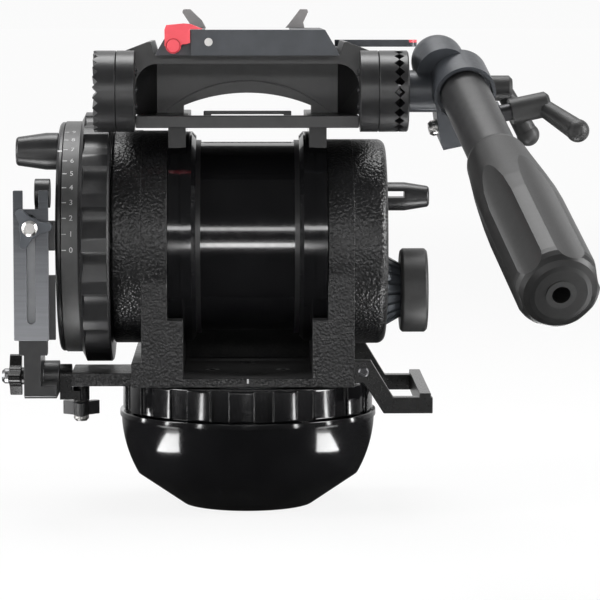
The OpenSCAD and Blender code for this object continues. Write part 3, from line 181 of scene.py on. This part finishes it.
def new_material(name):
    mat = bpy.data.materials.new(name)
    mat.use_nodes = True
    tree = mat.node_tree
    bsdf = tree.nodes["Principled BSDF"]
    return mat, tree, bsdf


def coords(tree):
    node = tree.nodes.new("ShaderNodeTexCoord")
    return node.outputs["Object"]


def noise(tree, scale, vector=None):
    node = tree.nodes.new("ShaderNodeTexNoise")
    node.inputs["Scale"].default_value = scale
    node.inputs["Detail"].default_value = NOISE_DETAIL
    tree.links.new(vector or coords(tree), node.inputs["Vector"])
    return node.outputs["Fac"]


def stretched(tree, scale):
    node = tree.nodes.new("ShaderNodeMapping")
    node.inputs["Scale"].default_value = scale
    tree.links.new(coords(tree), node.inputs["Vector"])
    return node.outputs["Vector"]


def remap(tree, value, to, span=NOISE_SPREAD):
    """The value brought from the span to the two ends in to, and held there."""
    node = tree.nodes.new("ShaderNodeMapRange")
    node.inputs["From Min"].default_value = span[0]
    node.inputs["From Max"].default_value = span[1]
    node.inputs["To Min"].default_value = to[0]
    node.inputs["To Max"].default_value = to[1]
    tree.links.new(value, node.inputs["Value"])
    return node.outputs["Result"]


def maths(tree, operation, first, second):
    node = tree.nodes.new("ShaderNodeMath")
    node.operation = operation
    for socket, value in zip(node.inputs, (first, second)):
        if isinstance(value, (int, float)):
            socket.default_value = value
        else:
            tree.links.new(value, socket)
    return node.outputs["Value"]


def along(tree, vector, axis):
    """The vector's part along X, Y or Z."""
    node = tree.nodes.new("ShaderNodeVectorMath")
    node.operation = "DOT_PRODUCT"
    node.inputs[1].default_value = AXIS[axis]
    tree.links.new(vector, node.inputs[0])
    return node.outputs["Value"]


def distance(tree, vector):
    node = tree.nodes.new("ShaderNodeVectorMath")
    node.operation = "LENGTH"
    tree.links.new(vector, node.inputs[0])
    return node.outputs["Value"]


def mix_shader(tree, factor, first, second):
    node = tree.nodes.new("ShaderNodeMixShader")
    tree.links.new(factor, node.inputs["Fac"])
    tree.links.new(first, node.inputs[1])
    tree.links.new(second, node.inputs[2])
    return node.outputs["Shader"]


def blend_colour(tree, value, dark, light):
    node = tree.nodes.new("ShaderNodeValToRGB")
    for element, position, colour in zip(node.color_ramp.elements, RAMP, (dark, light)):
        element.position = position
        element.color = (*colour, 1)
    tree.links.new(value, node.inputs["Fac"])
    return node.outputs["Color"]


def bump(tree, bsdf, height, strength, rise):
    node = tree.nodes.new("ShaderNodeBump")
    node.inputs["Strength"].default_value = strength
    node.inputs["Distance"].default_value = rise
    tree.links.new(height, node.inputs["Height"])
    tree.links.new(node.outputs["Normal"], bsdf.inputs["Normal"])


def grey(level):
    return (level, level, level)


# Finishes

def plain_finish(name, dark, light, rough, metallic=0.0, grain=300.0, grain_mm=0.0, coat=0.0, shine=0.7):
    """A finish whose colour and roughness wander a little, with an optional fine grain."""
    mat, tree, bsdf = new_material(name)
    blotches = noise(tree, grain * BLOTCH_SHARE)
    tree.links.new(blend_colour(tree, blotches, dark, light), bsdf.inputs["Base Color"])
    fine = noise(tree, grain)
    tree.links.new(remap(tree, fine, rough), bsdf.inputs["Roughness"])
    bsdf.inputs["Metallic"].default_value = metallic
    bsdf.inputs["Specular IOR Level"].default_value = shine
    bsdf.inputs["Coat Weight"].default_value = coat
    bsdf.inputs["Coat Roughness"].default_value = COAT_ROUGH
    if grain_mm:
        bump(tree, bsdf, fine, GRAIN_BUMP, grain_mm * MM)
    return mat


def wrinkle_cells(tree, where):
    """Height of the wrinkles: soft, warped cells that stand up in their middles."""
    warp = tree.nodes.new("ShaderNodeTexNoise")
    warp.inputs["Scale"].default_value = WRINKLE_WARP
    tree.links.new(where, warp.inputs["Vector"])
    push = tree.nodes.new("ShaderNodeVectorMath")
    push.operation = "MULTIPLY_ADD"
    push.inputs[1].default_value = grey(WRINKLE_PUSH)
    tree.links.new(warp.outputs["Color"], push.inputs[0])
    tree.links.new(where, push.inputs[2])
    cells = tree.nodes.new("ShaderNodeTexVoronoi")
    cells.feature = "SMOOTH_F1"
    cells.inputs["Scale"].default_value = WRINKLE_CELLS
    cells.inputs["Smoothness"].default_value = WRINKLE_SOFT
    tree.links.new(push.outputs["Vector"], cells.inputs["Vector"])
    return remap(tree, cells.outputs["Distance"], (1.0, 0.0), WRINKLE_EDGE)


def in_saddle(tree, where):
    """One between the uprights behind the yoke's front, else nought."""
    across = maths(tree, "ABSOLUTE", along(tree, where, X), 0)
    between = maths(tree, "LESS_THAN", across, SADDLE_HALF * MM)
    back = maths(tree, "GREATER_THAN", along(tree, where, Y), SADDLE_FRONT * MM)
    return maths(tree, "MULTIPLY", between, back)


def wrinkle_finish(name):
    """Black wrinkle paint with cells about a millimetre across, painted darker in the creases as shade, smooth and
    dull in the saddle.
    """
    mat, tree, bsdf = new_material(name)
    where = coords(tree)
    height = wrinkle_cells(tree, where)
    inside = in_saddle(tree, where)
    # Painted shade: the colour follows the wrinkles' height, darker in the creases between the cells
    tree.links.new(blend_colour(tree, height, WRINKLE_CREASE_SHADE, WRINKLE_CREST), bsdf.inputs["Base Color"])
    sheen = remap(tree, noise(tree, WRINKLE_ROUGH_SCALE), WRINKLE_ROUGH)
    dull = remap(tree, inside, (0.0, SADDLE_DULL), (0.0, 1.0))
    tree.links.new(maths(tree, "ADD", sheen, dull), bsdf.inputs["Roughness"])
    bsdf.inputs["Specular IOR Level"].default_value = WRINKLE_SHINE
    rise = maths(tree, "MULTIPLY", height, maths(tree, "SUBTRACT", 1.0, inside))
    bump(tree, bsdf, rise, WRINKLE_BUMP, WRINKLE_RISE)
    return mat


def brushed_finish(name):
    """Grey anodised plate, brushed along its width, with painted shading that turns it paler toward its foot."""
    mat, tree, bsdf = new_material(name)
    brush = noise(tree, BRUSH_SCALE, stretched(tree, BRUSH_STRETCH))
    # Painted shading: the plate is painted darker at the top and paler toward its foot
    painted_shading = remap(tree, along(tree, coords(tree), Z), SHADING_LEVELS, SHADING_HEIGHTS)
    level = maths(tree, "ADD", painted_shading, remap(tree, brush, (-BRUSH_SWING, BRUSH_SWING)))
    tree.links.new(blend_colour(tree, level, SHADED_PLATE_DARK, SHADED_PLATE_PALE), bsdf.inputs["Base Color"])
    tree.links.new(remap(tree, brush, BRUSH_ROUGH), bsdf.inputs["Roughness"])
    bsdf.inputs["Metallic"].default_value = BRUSH_METALLIC
    return mat


PLAIN = {
    "gloss_black": dict(
        dark=(0.004, 0.004, 0.0045), light=(0.006, 0.006, 0.0065), rough=(0.1, 0.16), coat=0.5, shine=0.5),
    "satin_black": dict(
        dark=(0.0126, 0.0126, 0.0133), light=(0.0182, 0.0182, 0.0189), rough=(0.3, 0.38),
        grain=900, grain_mm=0.02),
    "matte_black": dict(
        dark=grey(0.014), light=grey(0.021), rough=(0.45, 0.55), grain=1200, grain_mm=0.04),
    "grip_rubber": dict(
        dark=grey(0.0112), light=grey(0.0154), rough=(0.36, 0.44), grain=1500, grain_mm=0.02, shine=0.5),
    "handle_black": dict(
        dark=(0.0182, 0.0182, 0.0189), light=(0.0252, 0.0252, 0.0259), rough=(0.36, 0.44),
        grain=900, shine=0.5),
    "carry_black": dict(
        dark=grey(0.0042), light=grey(0.007), rough=(0.26, 0.32), grain=900, shine=0.4),
    "scale_black": dict(
        dark=grey(0.0672), light=grey(0.0784), rough=(0.4, 0.48), grain=900),
    "steel": dict(
        dark=(0.504, 0.504, 0.518), light=(0.616, 0.616, 0.63), rough=(0.38, 0.46), metallic=1.0),
    "dark_steel": dict(
        dark=(0.042, 0.042, 0.0448), light=(0.07, 0.07, 0.0728), rough=(0.3, 0.4), metallic=0.7),
    "bright_steel": dict(
        dark=(0.56, 0.546, 0.532), light=(0.672, 0.658, 0.644), rough=(0.26, 0.34), metallic=1.0),
    # Steel painted darker, a painted shade for the arm knob's screw, which lies partly in shade
    "shaded_steel": dict(
        dark=(0.224, 0.224, 0.231), light=(0.308, 0.308, 0.315), rough=(0.35, 0.45), metallic=1.0),
    "drag_metal": dict(
        dark=(0.392, 0.392, 0.42), light=(0.476, 0.476, 0.504), rough=(0.3, 0.4), metallic=0.9),
    "plate_grey": dict(
        dark=(0.0364, 0.0406, 0.0476), light=(0.0476, 0.0518, 0.0602), rough=(0.35, 0.45),
        metallic=0.2, grain=500),
    "knob_grey": dict(
        dark=(0.056, 0.063, 0.0728), light=(0.077, 0.084, 0.0952), rough=(0.35, 0.45), metallic=0.3),
    "guide_grey": dict(
        dark=(0.28, 0.287, 0.301), light=(0.364, 0.371, 0.385), rough=(0.4, 0.5), metallic=0.3),
    "horn_grey": dict(
        dark=(0.238, 0.231, 0.231), light=(0.308, 0.294, 0.294), rough=(0.4, 0.5)),
    "red": dict(
        dark=(0.78, 0.06, 0.085), light=(0.84, 0.075, 0.1), rough=(0.34, 0.42)),
    "grey_mark": dict(
        dark=grey(0.588), light=grey(0.7), rough=(0.5, 0.6)),
}
FINISH = {name: plain_finish(name, **recipe) for name, recipe in PLAIN.items()}
FINISH["wrinkle_black"] = wrinkle_finish("wrinkle_black")
FINISH["brushed_plate"] = brushed_finish("brushed_plate")

# Nodes whose finish departs from their slot's

FINISH_HERE = {
    "platform_plate": "satin_black", "guide_strip": "guide_grey", "carry_handle": "carry_black",
    "handle_tube": "handle_black", "handle_bracket": "plate_grey", "dial_scale_ring": "scale_black",
    "drag_knob_hub": "knob_grey", "leveller_foot": "carry_black", "arm_knob": "carry_black",
    # The arm knob's screw gets the darker steel, a painted shade
    "arm_knob_screw": "shaded_steel", "clamp_lever_stud": "dark_steel", "knuckle_stud": "dark_steel",
}
for name, obj in nodes.items():
    obj.data.materials.clear()
    obj.data.materials.append(FINISH[FINISH_HERE.get(name, slot_of[name])])


# Broken edges: the width in mm of the rounding on each piece's sharp edges

EDGE_MM = {
    "pan_drag_ring": 1.5, "ball_base": 0.5, "yoke_casting": 0.6, "left_housing": 0.5,
    "right_housing": 0.35, "collar_left": 0.4, "collar_right": 0.4, "platform_casting": 0.5,
    "platform_plate": 0.5, "plate_receptacle": 0.4, "leveller_arm": 0.4, "leveller_plate": 0.3,
    "leveller_foot": 0.4, "handle_bracket": 0.5, "dial_grip_ring": 0.6, "carry_handle": 0.8,
    "release_lever": 0.4, "guide_horns": 0.3, "drag_knob": 0.5, "tilt_lock_knob": 0.4,
    "counterbalance_knob": 0.4, "plate_knob": 0.3, "arm_knob": 0.4, "foot_wing": 0.4,
    "dial_end_cap": 0.4,
}


def round_edges(obj, width):
    weld = obj.modifiers.new("weld", "WELD")
    weld.merge_threshold = WELD_MM * MM
    flat = obj.modifiers.new("flats", "DECIMATE")
    flat.decimate_type = "DISSOLVE"
    flat.angle_limit = math.radians(FLAT_DEG)
    bevel = obj.modifiers.new("edges", "BEVEL")
    bevel.width = width * MM
    bevel.segments = EDGE_SEGMENTS
    bevel.limit_method = "ANGLE"
    bevel.angle_limit = math.radians(SHARP_DEG)
    even = obj.modifiers.new("shading", "WEIGHTED_NORMAL")
    even.keep_sharp = False


for name, width in EDGE_MM.items():
    round_edges(nodes[name], width)


# Small painted marks

def add_mark(name, mesh, body):
    obj = bpy.data.objects.new(name, mesh)
    bpy.context.scene.collection.objects.link(obj)
    mesh.materials.clear()
    mesh.materials.append(FINISH["grey_mark"])
    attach(obj, body)


def patches(name, corners):
    """A mesh of four-cornered patches from their corners in mm, four in a row for each patch."""
    mesh = bpy.data.meshes.new(name)
    verts = [tuple(c * MM for c in corner) for corner in corners]
    faces = [(i, i + 1, i + 3, i + 2) for i in range(0, len(verts), 4)]
    mesh.from_pydata(verts, [], faces)
    mesh.update()
    return mesh


def dial_point(x, deg, radius):
    a = math.radians(deg)
    return (x, -radius * math.cos(a), TILT_Z + radius * math.sin(a))


def arc_corners(sides, degs, radius):
    return [dial_point(x, deg, radius) for deg in degs for x in sides]


def digit_turn(digit):
    return DIGIT_START + DIGIT_STEP * digit


def add_ticks():
    start = SCALE_LEFT + TICK_IN
    corners = []
    for digit in range(DIGITS):
        deg = digit_turn(digit)
        ends = (deg - TICK_HALF_DEG, deg + TICK_HALF_DEG)
        corners += arc_corners((start, start + TICK_LONG), ends, SCALE_R + TICK_LIFT)
    add_mark("dial_ticks", patches("dial_ticks", corners), "tilt_dial")


def digit_mesh(digit):
    """The digit's outline as a flat mesh in XY, in metres, about its own middle."""
    curve = bpy.data.curves.new("digit_%d" % digit, "FONT")
    curve.body = str(digit)
    curve.size = DIGIT_SIZE * MM
    curve.align_x = "CENTER"
    curve.align_y = "CENTER"
    temp = bpy.data.objects.new("digit_curve_%d" % digit, curve)
    bpy.context.scene.collection.objects.link(temp)
    bpy.context.view_layer.update()
    graph = bpy.context.evaluated_depsgraph_get()
    mesh = bpy.data.meshes.new_from_object(temp.evaluated_get(graph))
    bpy.data.objects.remove(temp)
    return mesh


def add_digits():
    for digit in range(DIGITS):
        mesh = digit_mesh(digit)
        for v in mesh.vertices:
            x = SCALE_LEFT + DIGIT_IN + v.co.x / MM
            deg = digit_turn(digit) + math.degrees(v.co.y / (SCALE_R * MM))
            v.co = Vector(dial_point(x, deg, SCALE_R + MARK_LIFT)) * MM
        add_mark("dial_digit_%d" % digit, mesh, "tilt_dial")


def add_indexes():
    sides = (CAP_LEFT + CAP_MARK_IN_LEFT, CAP_RIGHT - CAP_MARK_IN_RIGHT)
    corners = arc_corners(sides, CAP_MARK_DEG, CAP_R + MARK_LIFT)
    add_mark("cap_index", patches("cap_index", corners), "yoke")
    front = YOKE_FRONT - PAN_MARK_LIFT
    corners = [(x, front, z) for z in PAN_MARK_Z for x in (-PAN_MARK_HALF, PAN_MARK_HALF)]
    add_mark("pan_index", patches("pan_index", corners), "yoke")


add_ticks()
add_digits()
add_indexes()


# Studio: pale floor, soft lamps, camera at the photo's angle

def mirrored_floor(tree):
    """Strength of the floor in reflections: dark round the head, pale further off and white behind."""
    where = coords(tree)
    far = remap(tree, distance(tree, where), MIRROR_FAR, MIRROR_FAR_AT)
    behind = remap(tree, along(tree, where, Y), (0.0, BACKDROP), MIRROR_BEHIND_AT)
    return maths(tree, "MAXIMUM", far, behind)


def mirror_rays(tree, path):
    return maths(tree, "MAXIMUM", path["Is Glossy Ray"], path["Is Transmission Ray"])


def floor_material():
    """White to the camera with a soft shadow; glossy and clear pieces see mirrored_floor() of it."""
    mat, tree, bsdf = new_material("floor")
    tone = blend_colour(tree, noise(tree, FLOOR_BLOTCHES), FLOOR_DARK, FLOOR_LIGHT)
    tree.links.new(tone, bsdf.inputs["Base Color"])
    bsdf.inputs["Roughness"].default_value = FLOOR_ROUGH
    bsdf.inputs["Specular IOR Level"].default_value = 0.0
    path = tree.nodes.new("ShaderNodeLightPath").outputs
    white = tree.nodes.new("ShaderNodeEmission")
    white.inputs["Strength"].default_value = 1.0
    share = remap(tree, distance(tree, coords(tree)), FLOOR_SHARE, FLOOR_SHARE_AT)
    seen = maths(tree, "MULTIPLY", path["Is Camera Ray"], share)
    to_camera = mix_shader(tree, seen, bsdf.outputs["BSDF"], white.outputs["Emission"])
    mirrored = tree.nodes.new("ShaderNodeEmission")
    tree.links.new(mirrored_floor(tree), mirrored.inputs["Strength"])
    surface = mix_shader(tree, mirror_rays(tree, path), to_camera, mirrored.outputs["Emission"])
    tree.links.new(surface, tree.nodes["Material Output"].inputs["Surface"])
    return mat


def add_floor():
    bpy.ops.mesh.primitive_plane_add(size=FLOOR_SIZE, location=(0, 0, FLOOR_Z))
    floor = bpy.context.object
    floor.name = "floor"
    floor.data.materials.append(floor_material())


def turned(place, aim):
    """The turn that points a lamp or camera at place toward aim."""
    return (Vector(aim) - Vector(place)).to_track_quat("-Z", "Y").to_euler()


def add_lamp(name, place, turn, width, height, watts):
    data = bpy.data.lights.new(name, "AREA")
    data.shape = "RECTANGLE"
    data.size = width
    data.size_y = height
    data.energy = watts
    lamp = bpy.data.objects.new(name, data)
    lamp.location = place
    lamp.rotation_euler = turn
    lamp.visible_camera = False
    bpy.context.scene.collection.objects.link(lamp)


def add_low_pair(deg, near, far, width, watts):
    """Two narrow lamps that lie on the floor, end on to the head, for the ball and pan ring to mirror."""
    middle = (near + far) / 2
    for name, side in (("left", -1), ("right", 1)):
        a = math.radians(side * deg)
        place = (middle * math.sin(a), -middle * math.cos(a), LOW_LAMP_Z)
        face_up = (math.pi, 0, a - math.pi / 2)
        add_lamp("low_%s_%d" % (name, deg), place, face_up, far - near, width, watts)


def add_lamps():
    for name, (place, aim, width, height, watts) in LAMPS.items():
        add_lamp(name, place, turned(place, aim), width, height, watts)
    for deg in BALL_LAMP_TURNS:
        add_low_pair(deg, **BALL_LAMP)
    for deg in RING_LAMP_TURNS:
        add_low_pair(deg, **RING_LAMP)


def add_world():
    """Dim all round; white to the camera, and in reflections white behind the head."""
    world = bpy.data.worlds.new("studio")
    bpy.context.scene.world = world
    world.use_nodes = True
    tree = world.node_tree
    dim = tree.nodes["Background"]
    dim.inputs["Color"].default_value = (1, 1, 1, 1)
    dim.inputs["Strength"].default_value = WORLD_DIM
    white = tree.nodes.new("ShaderNodeBackground")
    white.inputs["Color"].default_value = (1, 1, 1, 1)
    white.inputs["Strength"].default_value = BACKDROP
    path = tree.nodes.new("ShaderNodeLightPath").outputs
    ray = tree.nodes.new("ShaderNodeTexCoord").outputs["Generated"]
    behind = remap(tree, along(tree, ray, Y), (0.0, 1.0), BEHIND_SPREAD)
    mirrored = maths(tree, "MULTIPLY", mirror_rays(tree, path), behind)
    seen = maths(tree, "MAXIMUM", path["Is Camera Ray"], mirrored)
    surface = mix_shader(tree, seen, dim.outputs["Background"], white.outputs["Background"])
    tree.links.new(surface, tree.nodes["World Output"].inputs["Surface"])


def add_camera():
    data = bpy.data.cameras.new("photo_camera")
    data.lens = CAMERA_LENS
    data.sensor_width = CAMERA_SENSOR
    data.clip_end = CAMERA_FAR
    camera = bpy.data.objects.new("photo_camera", data)
    camera.location = CAMERA_PLACE
    camera.rotation_euler = turned((0, 0, 0), CAMERA_AIM)
    bpy.context.scene.collection.objects.link(camera)
    bpy.context.scene.camera = camera


add_floor()
add_lamps()
add_world()
add_camera()
bpy.context.scene.view_settings.view_transform = "Standard"
